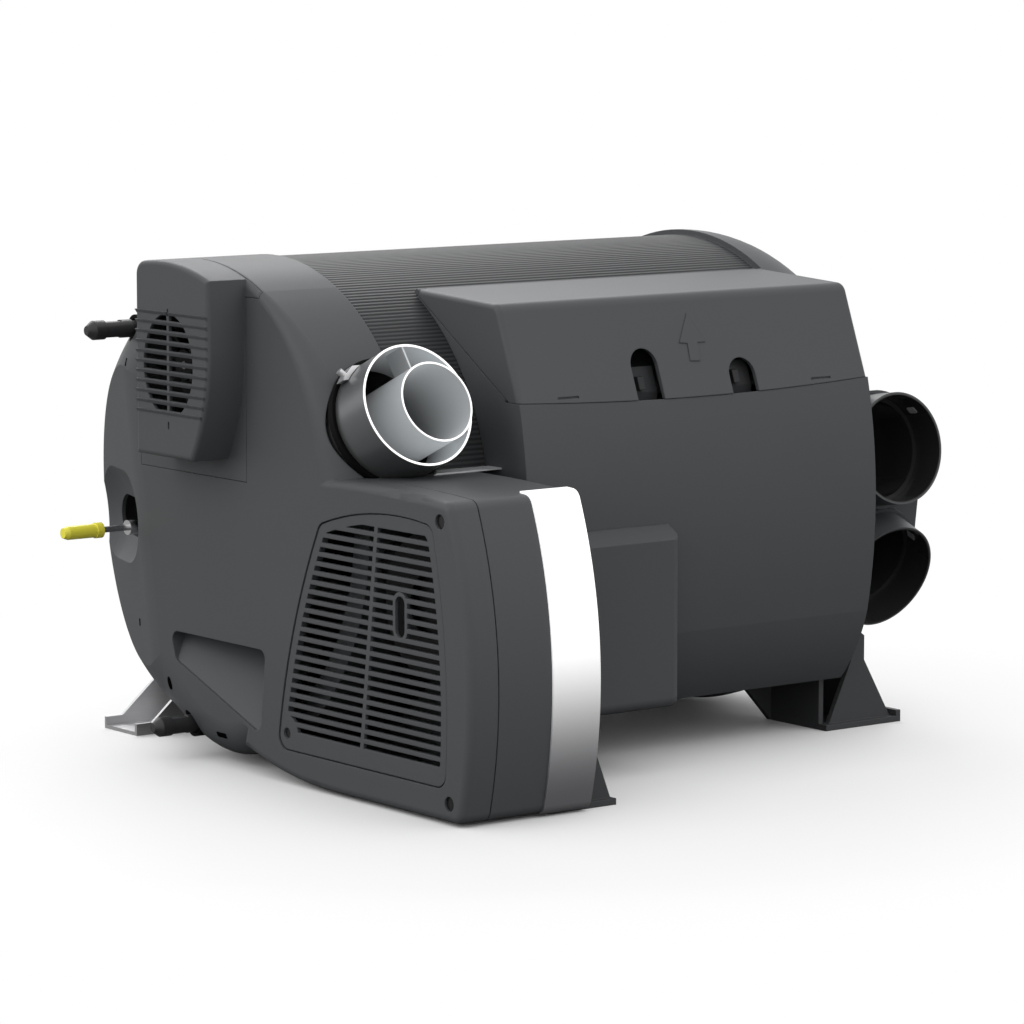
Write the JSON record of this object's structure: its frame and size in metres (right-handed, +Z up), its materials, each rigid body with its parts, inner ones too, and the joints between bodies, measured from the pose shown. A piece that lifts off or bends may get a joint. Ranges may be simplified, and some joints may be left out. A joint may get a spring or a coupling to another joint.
{
  "type": "combi heater",
  "caption": "Drum-shaped air and water heater for a vehicle, with hot air outlets, flue, louvred fan cover, burner front and a lidded electronics case.",
  "frame": {"origin": "centre of the footprint box, on the floor", "axes": "+X along the drum from the burner end to the hot air end, +Y to the rear, +Z up"},
  "size_m": [0.5386, 0.4702, 0.33],
  "materials": {
    "housing_plastic": "satin",
    "inner_plastic": "matte",
    "steel": "brushed",
    "aluminium": "brushed",
    "rubber": "matte",
    "stub_plastic": "satin",
    "cap_plastic": "gloss"
  },
  "bodies": {
    "heater": {"end_cap": "housing_plastic", "fan_cover": "housing_plastic", "burner_grille": "housing_plastic", "burner_housing": "housing_plastic", "air_hood": "housing_plastic", "electronics_housing": "housing_plastic", "cable_cover": "housing_plastic", "front_foot": "housing_plastic", "right_foot": "housing_plastic", "outlet_upper_front": "housing_plastic", "outlet_lower_front": "housing_plastic", "outlet_upper_rear": "housing_plastic", "outlet_lower_rear": "housing_plastic", "drum_jacket": "housing_plastic", "blower_housing": "inner_plastic", "air_duct": "inner_plastic", "fan_carrier": "inner_plastic", "relay": "inner_plastic", "terminal_block": "inner_plastic", "circuit_board": "inner_plastic", "left_foot": "steel", "lid_hinge_pins": "steel", "end_screws": "steel", "flue_screw": "steel", "board_screws": "steel", "bulkhead": "steel", "water_tank": "steel", "hot_water_pipe": "steel", "cold_water_pipe": "steel", "combustion_tube": "steel", "exhaust_elbow": "steel", "blower_motor": "steel", "fan_motor": "steel", "glow_plug": "steel", "fuel_union": "steel", "fuel_pipe": "steel", "water_sensor": "steel", "capacitor": "steel", "burner_head": "steel", "trim_band": "aluminium", "flue_collar": "aluminium", "exhaust_pipe": "aluminium", "flue_webs": "aluminium", "flue_clamp": "aluminium", "heat_shield": "aluminium", "heat_exchanger": "aluminium", "flue_seal": "rubber", "water_seals": "rubber", "hot_water_stub": "stub_plastic", "cold_water_stub": "stub_plastic"},
    "lid": {"electronics_lid": "housing_plastic"},
    "latch_left": {"lid_latch_left": "housing_plastic"},
    "latch_right": {"lid_latch_right": "housing_plastic"},
    "fan_wheel": {"fan_impeller": "inner_plastic"},
    "blower_wheel": {"blower_impeller": "inner_plastic"},
    "pipe_cap": {"fuel_cap": "cap_plastic"}
  },
  "joints": [
    {"name": "lid_hinge", "type": "hinge", "parent": "heater", "child": "lid", "pos_m": [0.03225, -0.02294, 0.3062], "axis": [-1, 0, 0], "range_deg": [0, 75]},
    {"name": "latch_left_slide", "type": "slide", "parent": "heater", "child": "latch_left", "axis": [0, 1, 0], "range_m": [0, 0.0025], "stiffness_N_per_m": 800},
    {"name": "latch_right_slide", "type": "slide", "parent": "heater", "child": "latch_right", "axis": [0, 1, 0], "range_m": [0, 0.0025], "stiffness_N_per_m": 800},
    {"name": "fan_spin", "type": "hinge", "parent": "heater", "child": "fan_wheel", "pos_m": [-0.23525, 0.05056, 0.261], "axis": [1, 0, 0], "continuous": true},
    {"name": "blower_spin", "type": "hinge", "parent": "heater", "child": "blower_wheel", "pos_m": [-0.18425, -0.15744, 0.126], "axis": [1, 0, 0], "continuous": true},
    {"name": "pipe_cap_pull", "type": "slide", "parent": "heater", "child": "pipe_cap", "axis": [-1, 0, 0], "range_m": [0, 0.045]}
  ]
}
